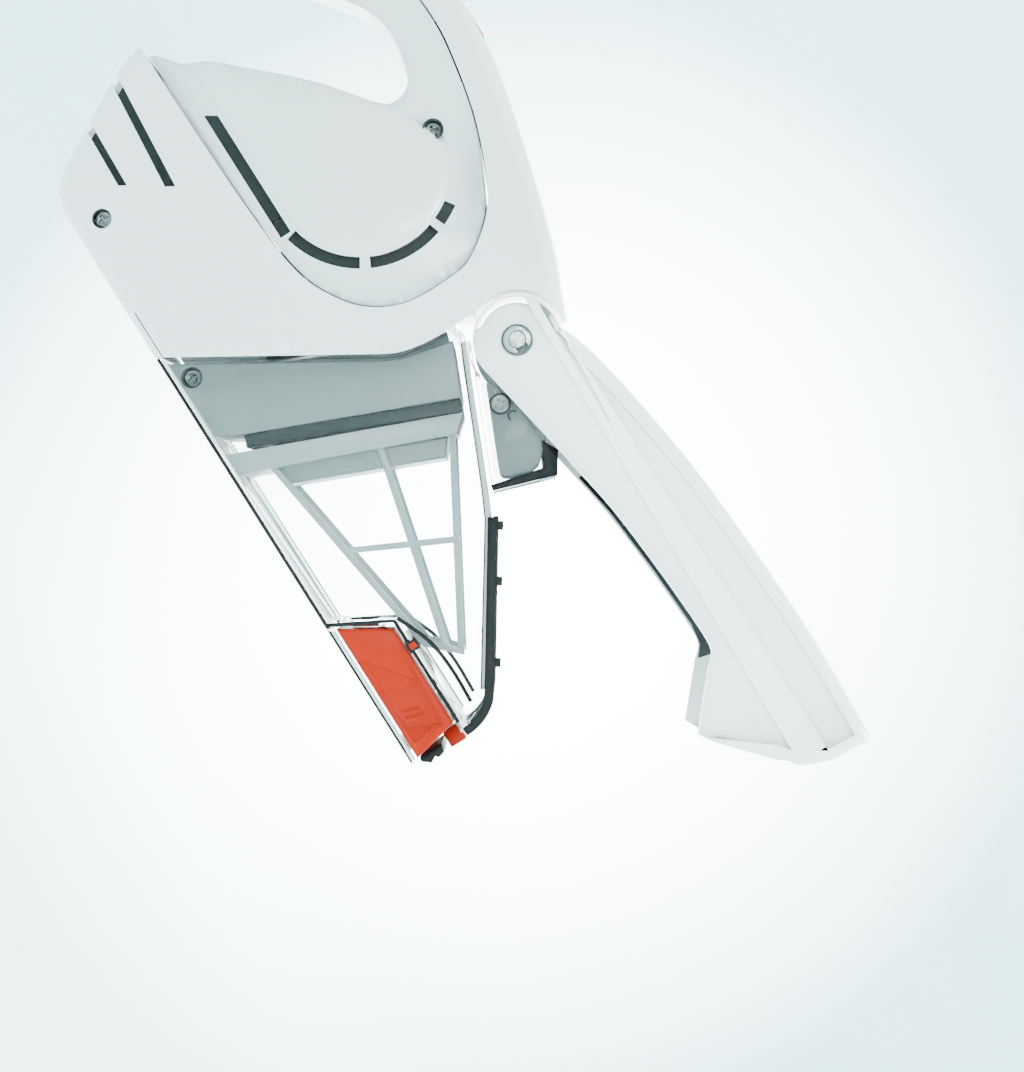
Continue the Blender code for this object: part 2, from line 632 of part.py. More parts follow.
def door_shell():
    """The white door, hollow on its mating side, with a round end on the axle."""
    shell = plate("door_shell", door_outline(), -DOOR_HALF, DOOR_HALF, 1.8, white)
    inner = DOOR_HALF - DOOR_WALL
    drum = arc(PIVOT, DOOR_END - DOOR_WALL, 75, 215, 8)
    hollow = drum + [(-4, 92), (12, 85), (150, 85), (167.5, 92), (170.2, 101), (187.5, 116.5),
                     (196, 112), (215, 112), (215, 142), (198.5, 146.4)]
    roof = inset(smooth([(198, 149), (155.8, 150.2), (117.8, 149), (79.8, 146.4), (41.8, 140.7),
                         (20.9, 136)], 2) + [(20, 100), (198, 100)], DOOR_WALL)[:-2]
    combine(shell, plate("door_hollow", hollow + roof[1:-1], -inner, inner))
    combine(shell, cylinder("axle_hole", PIVOT, 5.9, -60, 60, sides=28))


def door_liner():
    """The dark trough inside the door, which closes the bowl's mouth when the door is shut."""
    outer = DOOR_HALF - DOOR_WALL - GAP
    skirt = [(61.5, 110.6), (79.3, 113.6), (108.6, 116.1), (134.2, 117.2), (142.2, 116), (146.6, 112.4),
             (148.5, 120), (146, 146), (143.2, 146.6), (134.4, 132), (62.5, 122)]
    liner = plate("door_liner", skirt, -outer, outer, 0, dark)
    below = [(55, 100), (150, 100), (152, 118), (149.4, 145), (136, 129.6), (55, 118.5)]
    combine(liner, plate("liner_channel", below, -outer + 1.5, outer - 1.5))


def door_inlay():
    line = smooth([(21.5, 137), (41.8, 141), (79.8, 146.7), (117.8, 149.3), (144, 150.3)], 2)
    plate("door_inlay", line + [(x, z + 0.9) for x, z in line[::-1]], -12, 12, 0, white)


def axle():
    cylinder("door_axle", PIVOT, 3.0, -38.6, 38.6, steel, 24)
    for side, tag in ((-1, "left"), (1, "right")):
        y = sorted((side * 34.9, side * 36.9))
        bush = cylinder(f"axle_bush_{tag}", PIVOT, 5.6, y[0], y[1], clear, 24)
        combine(bush, cylinder(f"bush_bore_{tag}", PIVOT, 3.3, y[0] - 3, y[1] + 3, sides=24))
        y = sorted((side * 37.2, side * 38.1))
        plate(f"axle_clip_{tag}", arc(PIVOT, 5.0, 30, 330, 16) + arc(PIVOT, 3.2, 322, 38, 12),
              y[0], y[1], 0, steel)


# ---------------------------------------------------------------- assembly

for old_object in list(bpy.data.objects):
    bpy.data.objects.remove(old_object)

PARTS = bpy.data.collections.new("handheld_vacuum")
CUTTERS = bpy.data.collections.new("cutters")
bpy.context.scene.collection.children.link(PARTS)
bpy.context.scene.collection.children.link(CUTTERS)

housing()
housing_screws()
filter_deck()
deck_gasket()
pleated_filter()
filter_frame()
fan_and_motor()
battery_cells()
electrics()
dust_bowl()
bowl_seal()
crevice_tool()
hinge_box()
hinge_brackets()
door_shell()
door_liner()
door_inlay()
axle()
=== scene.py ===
"""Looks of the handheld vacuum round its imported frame: fine shells, plastics, soft studio and camera."""

import math

import bmesh
import bpy
from mathutils import Matrix, Vector
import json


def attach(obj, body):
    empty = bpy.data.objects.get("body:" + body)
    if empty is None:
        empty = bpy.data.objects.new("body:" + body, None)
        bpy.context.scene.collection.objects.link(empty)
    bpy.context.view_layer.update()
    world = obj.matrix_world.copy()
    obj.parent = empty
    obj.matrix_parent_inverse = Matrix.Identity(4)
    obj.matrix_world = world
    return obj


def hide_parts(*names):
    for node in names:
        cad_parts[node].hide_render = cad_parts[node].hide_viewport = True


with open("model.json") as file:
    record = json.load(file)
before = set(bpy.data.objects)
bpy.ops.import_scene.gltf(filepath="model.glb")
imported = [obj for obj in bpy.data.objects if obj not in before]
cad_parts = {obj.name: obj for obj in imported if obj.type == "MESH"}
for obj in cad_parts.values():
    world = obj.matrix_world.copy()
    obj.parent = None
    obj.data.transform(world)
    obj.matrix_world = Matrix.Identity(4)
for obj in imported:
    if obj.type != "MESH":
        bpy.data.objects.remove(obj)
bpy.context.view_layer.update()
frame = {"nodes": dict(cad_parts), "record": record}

MM = 0.001
GAP = 0.3

# The frame's own measures, in millimetres, with +X towards the nose and +Z up
BODY_HALF, HANDLE_HALF, POD_STEP, WALL, EDGE_ROUND = 39.0, 18.0, 2.0, 2.6, 6.0
DOOR_HALF, DOOR_WALL, DOOR_END = 37.0, 2.4, 16.3
TOOL_HALF = 31.5
SIDES = ((-1, "left"), (1, "right"))
INNER_ROUND, GRID = 4.0, 7.0  # a shell's inner and pod edges, and the slices that let it curve
SEAM = 0.35  # half the groove round the pod
FLAT_ANGLE = 35  # edges sharper than this stay crisp
PIVOT, RECESS, REACH = (7.2, 116.1), 18.2, 201.3
TAPER_UP, TAPER_FROM, TAPER_TO = (-0.45, 0.89), 120.0, 172.0
SCREW_HOLE = 3.7
REAR_SCREW, HANDLE_SCREW = (-111.3, 11.1), (-76.3, 131.9)
DECK_SCREW, BRACKET_SCREW = (-45.3, 7.4), (23.5, 98.5)
VENT_CENTRE, VENT_RADIUS, VENT_HALF, VENT_RUN = (-77.5, 101.3), 35.6, 2.2, 64.9
POD_CENTRE = (-78.0, 95.0)


# ---------------------------------------------------------------- outlines

def arc(centre, radius, start, end, steps):
    angles = [math.radians(start + (end - start) * i / steps) for i in range(steps + 1)]
    return [(centre[0] + radius * math.cos(a), centre[1] + radius * math.sin(a)) for a in angles]


def smooth(points, steps=6):
    padded = [points[0]] + list(points) + [points[-1]]
    found = []
    for a, b, c, d in zip(padded, padded[1:], padded[2:], padded[3:]):
        for i in range(steps):
            t = i / steps
            found.append(tuple(
                0.5 * (2 * b[k] + (c[k] - a[k]) * t + (2 * a[k] - 5 * b[k] + 4 * c[k] - d[k]) * t * t
                       + (3 * b[k] - a[k] - 3 * c[k] + d[k]) * t ** 3)
                for k in (0, 1)))
    return found + [points[-1]]


def inset(outline, depth):
    count = len(outline)
    area = sum(outline[i - 1][0] * outline[i][1] - outline[i][0] * outline[i - 1][1] for i in range(count))
    side = 1 if area > 0 else -1
    moved = []
    for i, point in enumerate(outline):
        before, here, after = (Vector(outline[i - 1]), Vector(point), Vector(outline[(i + 1) % count]))
        one, two = (here - before).normalized(), (after - here).normalized()
        normals = [Vector((-e.y, e.x)) * side for e in (one, two)]
        spread = max(1 + normals[0].dot(normals[1]), 0.5)
        moved.append(tuple(here + (normals[0] + normals[1]) * depth / spread))
    return moved


def housing_outline(fine=True):
    """The housing's side view, run on past its front. The inside of the shell needs fewer points."""
    rear = smooth([(-121, 0), (-131, 3.8), (-140, 16.8), (-148, 31), (-156, 46.5), (-158.6, 55)],
                  5 if fine else 3)
    back = smooth([(-158.6, 55), (-155, 61.5), (-148, 67), (-143, 76.5), (-134, 86.5), (-116, 105.8),
                   (-98, 120.8), (-95.4, 126), (-97.5, 131.2), (-103, 134), (-113.5, 136.1),
                   (-123, 135.3), (-131, 131.5), (-146, 120), (-160, 106.5), (-170, 92), (-176, 80)],
                  5 if fine else 2)
    tail = smooth([(-176, 80), (-182.5, 72), (-191.5, 69.5), (-199.3, 76), (-REACH, 88), (-194, 113),
                   (-179.5, 136), (-160, 153), (-137, 163.5), (-116.8, 166.7), (-101.7, 166.9),
                   (-82, 164.7), (-50.8, 157.2), (-16.8, 147), (1.1, 139.6), (25, 128), (42, 105)],
                  6 if fine else 2)
    return rear + back[1:] + tail[1:] + smooth([(42, 105), (45, 60), (40, 15), (20, 0)], 2)[1:]


def front_region():
    edge = [(-58.2, -30), (-58.2, 0), (-15, 70.9)] + smooth([(-15, 70.9), (-11.7, 77.4), (-9.5, 89),
                                                            (-9.3, 105)], 4)[1:]
    return edge + arc(PIVOT, RECESS, 205, 78, 28) + [(14, 200), (90, 200), (90, -30)]


def pod_region():
    return smooth([(-175, 57), (-137.1, 57), (-85.2, 58.5), (-57.4, 61.4), (-42.4, 67.7), (-32.2, 76.4),
                   (-26, 89.2), (-25.2, 106), (-27.8, 118.1), (-41.7, 133.8), (-68.7, 146.3),
                   (-95, 152.5), (-114.4, 154.3), (-137, 151.5), (-156, 142), (-172, 126.5),
                   (-184, 107), (-190, 88), (-191, 62)], 5)


def door_top():
    """The door's long curved top, from its tip back to the axle."""
    return smooth([(198, 149), (155.8, 150.2), (117.8, 149), (79.8, 146.4), (41.8, 140.7), (20.9, 136)], 5)


# ---------------------------------------------------------------- shader writing

class Socket:
    """A value in a material's node tree. Arithmetic on it adds Math nodes."""

    def __init__(self, tree, link):
        self.tree, self.link = tree, link

    def _math(self, operation, one, two):
        return node(self.tree, "ShaderNodeMath", {"operation": operation}, one, two)

    def __add__(self, other):
        return self._math("ADD", self, other)

    def __sub__(self, other):
        return self._math("SUBTRACT", self, other)

    def __rsub__(self, other):
        return self._math("SUBTRACT", other, self)

    def __mul__(self, other):
        return self._math("MULTIPLY", self, other)

    def __truediv__(self, other):
        return self._math("DIVIDE", self, other)

    def __pow__(self, other):
        return self._math("POWER", self, other)

    def __gt__(self, other):
        return self._math("GREATER_THAN", self, other)

    __radd__, __rmul__ = __add__, __mul__

    def clamped(self):
        return node(self.tree, "ShaderNodeClamp", {}, self)


def node(tree, kind, settings, *inputs, output=0, **named):
    """Adds one node: its settings first, then its inputs by place or by name."""
    made = tree.nodes.new(kind)
    for key, value in settings.items():
        if key == "stops":
            ramp = made.color_ramp
            for index, (position, color) in enumerate(value):
                stop = ramp.elements[index] if index < 2 else ramp.elements.new(position)
                stop.position, stop.color = position, (*color, 1)
        else:
            setattr(made, key, value)
    pairs = list(zip(made.inputs, inputs)) + [(made.inputs[key.replace("_", " ")], value)
                                              for key, value in named.items()]
    for socket, value in pairs:
        if isinstance(value, Socket):
            tree.links.new(value.link, socket)
        elif value is not None:
            socket.default_value = value
    return Socket(tree, made.outputs[output])


def shades(tree, factor, one, two):
    """Mixes two colours, each a triple or a socket."""
    made = tree.nodes.new("ShaderNodeMix")
    made.data_type = "RGBA"
    tree.links.new(factor.link, made.inputs["Factor"])
    for socket, value in ((made.inputs[6], one), (made.inputs[7], two)):
        if isinstance(value, Socket):
            tree.links.new(value.link, socket)
        else:
            socket.default_value = (*value, 1)
    return Socket(tree, made.outputs[2])


def noise(tree, where, scale, detail=2.0, rough=0.5):
    return node(tree, "ShaderNodeTexNoise", {}, Vector=where, Scale=scale, Detail=detail, Roughness=rough)


def plastic(name, color, rough, *, spread=0.05, tint=0.06, grain=1200.0, depth=0.02, coat=0.0, metal=0.0,
            alpha=None, scratches=0.0, specular=0.5):
    """A moulded or turned finish: faint blotches, uneven gloss, hairline scratches and a fine grain."""
    made = bpy.data.materials.new(name)
    made.use_nodes = True
    tree = made.node_tree
    shader = tree.nodes["Principled BSDF"]
    where = node(tree, "ShaderNodeTexCoord", {}, output=3)
    blotches = noise(tree, where, 14.0, 3.0)
    haze = noise(tree, where, 60.0, 4.0, 0.6)
    fine = noise(tree, where, grain, 2.0)
    darker = tuple(c * (1 - tint) for c in color)
    tree.links.new(shades(tree, blotches, color, darker).link, shader.inputs["Base Color"])
    gloss = haze * spread + (rough - spread / 2)
    height = fine * 1.0
    if scratches:
        stretched = node(tree, "ShaderNodeMapping", {}, Vector=where, Scale=(40.0, 900.0, 1400.0))
        lines = noise(tree, stretched, 1.0, 2.0) > 0.68
        gloss = gloss + lines * scratches
        height = height - lines * 0.4
    tree.links.new(gloss.clamped().link, shader.inputs["Roughness"])
    bump = node(tree, "ShaderNodeBump", {}, Height=height, Strength=depth, Distance=0.0004)
    tree.links.new(bump.link, shader.inputs["Normal"])
    shader.inputs["Metallic"].default_value = metal
    shader.inputs["Coat Weight"].default_value = coat
    shader.inputs["Coat Roughness"].default_value = 0.05
    shader.inputs["Specular IOR Level"].default_value = specular
    if alpha is not None:
        # Clear plastics grow opaque towards their silhouettes, so their dark body colour paints shade along
        # their edges.
        edge = node(tree, "ShaderNodeLayerWeight", {}, Blend=0.5, output=1)
        see = (edge ** 1.7) * alpha[1] + alpha[0]
        tree.links.new(see.clamped().link, shader.inputs["Alpha"])
    return made


WHITE = plastic("white_shell_plastic", (0.74, 0.785, 0.78), 0.16, tint=0.03, coat=0.5, scratches=0.05)
DOOR_WHITE = plastic("door_plastic", (0.86, 0.885, 0.88), 0.14, tint=0.03, coat=0.5, scratches=0.05)
POD = plastic("pod_plastic", (0.66, 0.715, 0.71), 0.2, tint=0.05, coat=0.4, scratches=0.05)
GREY = plastic("deck_grey_plastic", (0.22, 0.265, 0.263), 0.38, grain=2200, depth=0.08)
DARK = plastic("liner_dark_plastic", (0.011, 0.016, 0.016), 0.34, grain=2200, depth=0.08, specular=0.2)
RUBBER = plastic("lip_rubber", (0.004, 0.005, 0.005), 0.45, grain=3000, depth=0.15, specular=0.15)
ORANGE = plastic("orange_plastic", (0.34, 0.012, 0.0), 0.36, tint=0.08, grain=2600, depth=0.1, specular=0.1)
CAGE = plastic("cage_plastic", (0.36, 0.42, 0.418), 0.34, grain=2200, depth=0.06)
CLEAR = plastic("clear_bowl_plastic", (0.12, 0.15, 0.15), 0.05, spread=0.03, tint=0.02, depth=0.01,
                alpha=(0.06, 1.0), specular=0.6)
SEAL_CLEAR = plastic("clear_box_plastic", (0.10, 0.125, 0.125), 0.07, tint=0.02, depth=0.01,
                     alpha=(0.14, 1.0), specular=0.6)
# Polished metal for the thin bright strips that paint highlights along the clear bowl's edges.
PAINTED_HIGHLIGHT = plastic("painted_highlight_strip", (0.72, 0.76, 0.76), 0.1, metal=1.0, grain=3000, depth=0.05)
STEEL = plastic("turned_steel", (0.36, 0.38, 0.385), 0.22, metal=1.0, grain=3500, depth=0.1, scratches=0.1)
SCREW_STEEL = plastic("screw_steel", (0.16, 0.17, 0.17), 0.36, metal=1.0, grain=3500, depth=0.15)
COPPER = plastic("winding_copper", (0.62, 0.28, 0.12), 0.35, metal=1.0, grain=2000, depth=0.5)
BOARD = plastic("board_green", (0.01, 0.12, 0.05), 0.35, grain=900, depth=0.1)
WRAP = plastic("cell_sleeve", (0.03, 0.10, 0.26), 0.3, grain=1500, depth=0.05)
PAPER = plastic("filter_paper", (0.72, 0.71, 0.66), 0.9, tint=0.12, grain=1500, depth=0.5)

FINISH_OF_SLOT = {
    "white_plastic": WHITE, "pod_plastic": POD, "grey_plastic": GREY, "dark_plastic": DARK,
    "black_rubber": RUBBER, "orange_plastic": ORANGE, "clear_plastic": CLEAR, "cage_plastic": CAGE,
    "steel": STEEL, "copper": COPPER, "board_green": BOARD, "cell_wrap": WRAP, "filter_paper": PAPER,
}
SLOT_OF_NODE = {part["node"]: part["material_slot"] for part in frame["record"]["subparts"]}
BODY_OF_NODE = {name: body for body, names in frame["record"]["behaviour"]["bodies"].items()
                for name in names}


# ---------------------------------------------------------------- mesh tools

def as_object(name, mesh):
    made = bpy.data.objects.new(name, mesh)
    bpy.context.scene.collection.objects.link(made)
    return made


def settled(obj):
    """The object's evaluated shape, in world coordinates, as a plain mesh object of the same name."""
    bpy.context.view_layer.update()
    mesh = bpy.data.meshes.new_from_object(obj.evaluated_get(bpy.context.evaluated_depsgraph_get()))
    mesh.transform(obj.matrix_world)
    bm = bmesh.new()
    bm.from_mesh(mesh)
    bmesh.ops.remove_doubles(bm, verts=bm.verts, dist=4e-6)
    bmesh.ops.recalc_face_normals(bm, faces=bm.faces)
    bm.to_mesh(mesh)
    bm.free()
    name = obj.name
    bpy.data.objects.remove(obj)
    made = as_object(name, mesh)
    made.name = name
    return made


def plate(name, outline, near, far, rounding=0.0, holes=(), steps=4):
    """A flat outline in XZ, in millimetres, given thickness from y=near to y=far, with rounded edges."""
    curve = bpy.data.curves.new(name, "CURVE")
    curve.dimensions = "2D"
    curve.fill_mode = "BOTH"
    for loop in (outline, *holes):
        spline = curve.splines.new("POLY")
        spline.points.add(len(loop) - 1)
        for point, (x, z) in zip(spline.points, loop):
            point.co = (x * MM, z * MM, 0, 1)
        spline.use_cyclic_u = True
    curve.bevel_depth = rounding * MM
    curve.bevel_resolution = steps
    curve.offset = -rounding * MM
    curve.extrude = ((far - near) / 2 - rounding) * MM
    obj = as_object(name, curve)
    obj.rotation_euler = (math.pi / 2, 0, 0)
    obj.location = (0, (near + far) / 2 * MM, 0)
    return settled(obj)


def box(name, low, high):
    mesh = bpy.data.meshes.new(name)
    bm = bmesh.new()
    bmesh.ops.create_cube(bm, size=1)
    size = [(b - a) * MM for a, b in zip(low, high)]
    middle = [(a + b) / 2 * MM for a, b in zip(low, high)]
    bm.transform(Matrix.Translation(middle) @ Matrix.Diagonal((*size, 1)))
    bm.to_mesh(mesh)
    bm.free()
    return as_object(name, mesh)


def rod(name, centre, radius, near, far, sides=48):
    return plate(name, arc(centre, radius, 0, 360 - 360 / sides, sides - 1), near, far)


def cut(target, *cutters, how="DIFFERENCE"):
    """Cuts or joins the shapes, keeps the result and removes the cutters."""
    for cutter in cutters:
        modifier = target.modifiers.new("cut", "BOOLEAN")
        modifier.operation = how
        modifier.object = cutter
    made = settled(target)
    for cutter in cutters:
        bpy.data.objects.remove(cutter)
    return made


def softened(obj, width):
    """Rounds the sharp edges a little, as moulding does, and shades the rest smooth."""
    if width:
        bevel = obj.modifiers.new("edges", "BEVEL")
        bevel.width = width * MM
        bevel.segments = 2
        bevel.limit_method = "ANGLE"
        bevel.angle_limit = math.radians(FLAT_ANGLE)
        bevel.harden_normals = True
        bevel.use_clamp_overlap = True
        obj = settled(obj)
    obj.data.shade_smooth()
    obj.data.set_sharp_from_angle(angle=math.radians(FLAT_ANGLE))
    return obj


def fit_out(obj, nodes, finish):
    """Gives the piece its finish, puts it on its body, and lets it stand for its frame nodes."""
    obj.data.materials.clear()
    obj.data.materials.append(finish)
    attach(obj, BODY_OF_NODE[nodes[0]])
    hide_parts(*nodes)


def settled_copy(name):
    """A copy of a frame node's shape, with its flat faces whole."""
    obj = as_object(f"{name}_fine", frame["nodes"][name].data.copy())
    bm = bmesh.new()
    bm.from_mesh(obj.data)
    bmesh.ops.remove_doubles(bm, verts=bm.verts, dist=4e-6)
    bmesh.ops.dissolve_limit(bm, angle_limit=math.radians(1), verts=bm.verts, edges=bm.edges)
    bm.to_mesh(obj.data)
    bm.free()
    return obj


def smoothed(name, finish=None):
    """A fine copy of a frame node, with moulded edges, standing for it."""
    fit_out(softened(settled_copy(name), 0.25), [name], finish or FINISH_OF_SLOT[SLOT_OF_NODE[name]])


# ---------------------------------------------------------------- housing

def eased(t):
    t = min(max(t, 0.0), 1.0)
    return t * t * (3 - 2 * t)


def side_factor(x, z, pod):
    """How wide the housing is at a point, as a share of its widest."""
    along = (x * TAPER_UP[0] + z * TAPER_UP[1]) / math.hypot(*TAPER_UP)
    narrowing = eased((along - TAPER_FROM) / (TAPER_TO - TAPER_FROM))
    factor = 1 - (BODY_HALF - HANDLE_HALF) / BODY_HALF * narrowing
    rear = eased((-x - 95) / 70) * 0.10
    low = eased((45 - z) / 50) * 0.05
    factor -= rear + low
    if pod:
        away = math.hypot((x - POD_CENTRE[0]) / 88, (z - POD_CENTRE[1]) / 62)
        fade = 0.0 if along > TAPER_TO else 1.0 - eased((along - 140) / 32)
        factor -= 0.16 * min(away, 1.2) ** 2.4 * fade
    return factor


def gridded(obj, pitch, spans=((0, -200, 45), (2, 3, 166))):
    """Slices the mesh into a grid in XZ, so that its flat sides can be curved and shade evenly."""
    bm = bmesh.new()
    bm.from_mesh(obj.data)
    for axis, low, high in spans:
        normal = Vector((1, 0, 0)) if axis == 0 else Vector((0, 0, 1))
        count = int((high - low) / pitch)
        for i in range(count + 1):
            place = normal * (low + pitch * i + 0.37) * MM
            bmesh.ops.bisect_plane(bm, geom=bm.verts[:] + bm.edges[:] + bm.faces[:], dist=1e-7,
                                   plane_co=place, plane_no=normal)
    bm.to_mesh(obj.data)
    bm.free()


def curved_sides(obj, pod):
    """Gives flat sides the housing's or the pod's curve."""
    gridded(obj, GRID)
    for vertex in obj.data.vertices:
        vertex.co.y *= side_factor(vertex.co.x / MM, vertex.co.z / MM, pod)


def shell_layer(name, sink, pod=False, grow_front=0.0, rounding=INNER_ROUND):
    """The whole shape of the housing or the pod, lying deeper by sink, with its front cut away."""
    half, outer = BODY_HALF - sink, sink <= POD_STEP
    layer = plate(name, inset(housing_outline(outer), sink), -half, half, rounding, steps=4 if outer else 1)
    curved_sides(layer, pod)
    return cut(layer, plate("front", inset(front_region(), -grow_front), -60, 60))


def half_box(side):
    """All that lies on one side of the middle seam."""
    near, far = sorted((side * GAP / 2, side * (BODY_HALF + 10)))
    return box("half", (-REACH - 20, near, -20), (REACH, far, 220))


def vent_cutters(side):
    near, far = sorted((side * 23.7, side * 46.3))
    outer, inner = VENT_RADIUS + VENT_HALF, VENT_RADIUS - VENT_HALF
    loops = [[(-124.3, VENT_RUN - VENT_HALF), (-70.5, VENT_RUN - VENT_HALF),
              (-70.5, VENT_RUN + VENT_HALF), (-121.4, VENT_RUN + VENT_HALF)]]
    for start, end in ((-77, -32), (-26, 18), (23, 36)):
        loops.append(arc(VENT_CENTRE, outer, start, end, 14) + arc(VENT_CENTRE, inner, end, start, 14))
    return [plate("vent", loop, near, far) for loop in loops]


def rear_vent_cutters(side):
    near, far = sorted((side * 22, side * 46))
    loops = ([(-165, 41.5), (-108.6, 36.9), (-106.6, 40.3), (-165, 44.6)],
             [(-165, 24.2), (-118.2, 22.6), (-116.5, 25.4), (-165, 27)])
    return [plate("rear_vent", loop, near, far) for loop in loops]


def housing_shells():
    """Both housing halves, and the pod halves inside the curved seam, as thin shells."""
    for side, tag in SIDES:
        shell = cut(shell_layer(f"housing_{tag}_fine", 0, rounding=EDGE_ROUND), half_box(side),
                    how="INTERSECT")
        opening = plate("opening", [(-76, WALL), (-50, WALL), (-8, 74), (-6, 96), (-26, 96)],
                        -BODY_HALF + WALL, BODY_HALF - WALL)
        inside = shell_layer("inside", WALL, grow_front=WALL)
        shell = cut(shell, inside, opening, plate("seam", inset(pod_region(), -SEAM), -60, 60),
                    box("slot", (-116.37, -6.31, 157.3), (-86.41, 6.31, 175)), *rear_vent_cutters(side))
        if side < 0:
            shell = cut(shell, rod("hole", REAR_SCREW, SCREW_HOLE, -60, -25))
        fit_out(softened(shell, 0.5), [f"housing_{tag}"], WHITE)

        pod = cut(shell_layer(f"motor_pod_{tag}_fine", POD_STEP, True), half_box(side),
                  plate("region", inset(pod_region(), SEAM), -60, 60), how="INTERSECT")
        inside = shell_layer("pod_inside", POD_STEP + WALL, True)
        pod = cut(pod, inside, *vent_cutters(side))
        if side < 0:
            pod = cut(pod, rod("hole", HANDLE_SCREW, SCREW_HOLE, -60, -13))
        fit_out(softened(pod, 0.5), [f"motor_pod_{tag}"], POD)


def trim(name, body, finish, shape):
    """A small piece that the frame has no node for, on its body."""
    shape.name = name
    shape.data.materials.append(finish)
    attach(shape, body)


def strip(points, width):
    """The outline of a band along the points, to their left by the width."""
    moved = []
    for i, point in enumerate(points):
        ahead = Vector(points[min(i + 1, len(points) - 1)]) - Vector(points[max(i - 1, 0)])
        ahead.normalize()
        moved.append((point[0] - ahead.y * width, point[1] + ahead.x * width))
    return list(points) + moved[::-1]


def sided(half, thickness, side):
    """Near and far Y of a layer on one side."""
    return sorted((side * half, side * (half + thickness)))


def vent_domes():
    """The raised dome inside the curved vent on each side."""
    outline = [(-150, 67.5)] + arc(VENT_CENTRE, 33.1, -90, 74, 30) + [(-112, 133), (-152, 112)]
    for side, tag in SIDES:
        dome = plate("dome", outline, -38.4, 38.4, 3.6)
        curved_sides(dome, True)
        near, far = sorted((side * 24.0, side * 60.0))
        dome = cut(dome, plate("keep", inset(housing_outline(False), 3.4), near, far), how="INTERSECT")
        trim(f"vent_dome_{tag}", "housing", POD, softened(dome, 0.4))


def shade_sheets():
    """Dark sheets close behind the vents: painted shade seen through the slots."""
    bend = arc(VENT_CENTRE, VENT_RADIUS + VENT_HALF + 0.8, -90, 38, 40) + arc(
        VENT_CENTRE, VENT_RADIUS - VENT_HALF - 0.8, 38, -90, 40)
    run = [(-126, VENT_RUN - 3), (-78, VENT_RUN - 3), (-78, VENT_RUN + 3), (-122, VENT_RUN + 3)]
    rear = [(-138, 21), (-104, 21), (-104, 46), (-150.5, 46)]
    for side, tag in SIDES:
        for name, loop, half in (("bend", bend, 29.6), ("run", run, 29.6), ("rear", rear, 31.0)):
            # Each dark sheet stands in for the shade inside a vent: painted shade.
            shade_sheet = plate("shade_sheet", loop, *sided(half, 0.7, side))
            gridded(shade_sheet, GRID)
            trim(f"{name}_baffle_{tag}", "housing", DARK, softened(shade_sheet, 0))


def screw_hole_shades():
    """Near-black rings lining the sunk screw holes: painted shade inside the holes."""
    for name, centre, near, far in (
            ("rear", REAR_SCREW, -35.6, -27.0), ("handle", HANDLE_SCREW, -24.5, -13.0),
            ("deck", DECK_SCREW, -29.8, -24.0), ("bracket", BRACKET_SCREW, -29.7, -27.5)):
        outer, bore = (arc(centre, radius, 0, 352, 44) for radius in (3.95, 3.35))
        # A dark lining on each hole's wall, where shade falls inside the hole: painted shade.
        hole_shade = plate("hole_shade", outer, near, far, holes=[bore])
        trim(f"{name}_screw_hole_shade", "housing", DARK, softened(hole_shade, 0))


def bowl_trims():
    """Dark and bright strips along the bowl's underside and round its nose: black strips where the clear
    bowl's edges look black, painted shade; bright metal strips between them, painted highlights; and a black
    clip with an orange catch.
    """
    dark_edge_arc = smooth([(70.4, 23.6), (76.9, 26.6), (85, 29.4), (97, 30.6), (110.6, 30.2)], 6)
    black, painted_highlight, orange = ("black_rubber", RUBBER), ("steel", PAINTED_HIGHLIGHT), ("orange_plastic", ORANGE)
    pieces = (  # name, outline, inner side, thickness, edge, finish
        # The black edge strips paint shade where the clear bowl's edges look black; the bright strips
        # between them paint highlights.
        ("bowl_dark_edge", strip([(-57.6, 0.1), (59.6, 0.1)], 1.2), 31.5, 0.8, 0.15, black),
        ("bowl_highlight_line", strip([(-55.4, 2.1), (60.6, 2.1)], 0.7), 31.6, 0.6, 0.1, painted_highlight),
        ("nose_dark_edge", strip([(59.2, 0.6), (70.6, 22.2), (114.6, 22.2)], 1.5), 31.4, 0.8, 0.2, black),
        ("nose_highlight_line", strip([(76.0, 23.9), (113.6, 23.9)], 0.9), 31.2, 1.0, 0.1, painted_highlight),
        ("nose_dark_edge_arc", strip(dark_edge_arc, 1.5), 30.6, 1.5, 0.2, black),
        ("nose_clip", [(79.6, 21.6), (83.8, 21.6), (83.8, 26.0), (79.6, 26.0)], 31.3, 1.2, 0.2, black),
        ("nose_clip_catch", [(80.5, 22.6), (82.9, 22.6), (82.9, 25.2), (80.5, 25.2)], 32.3, 0.5, 0.1,
         orange),
        ("nose_low_highlight_line", strip([(62, 1.0), (117.6, 1.0)], 1.4), 30.9, 0.9, 0.15, painted_highlight),
        ("nose_low_dark_edge", strip([(60.6, 0.1), (118.1, 0.1)], 0.8), 30.9, 1.0, 0.1, black))
    for side, tag in SIDES:
        for name, outline, inner, thickness, edge, (slot, finish) in pieces:
            piece = plate(name, outline, *sided(inner, thickness, side))
            trim(f"{name}_{tag}", "housing", finish, softened(piece, edge))


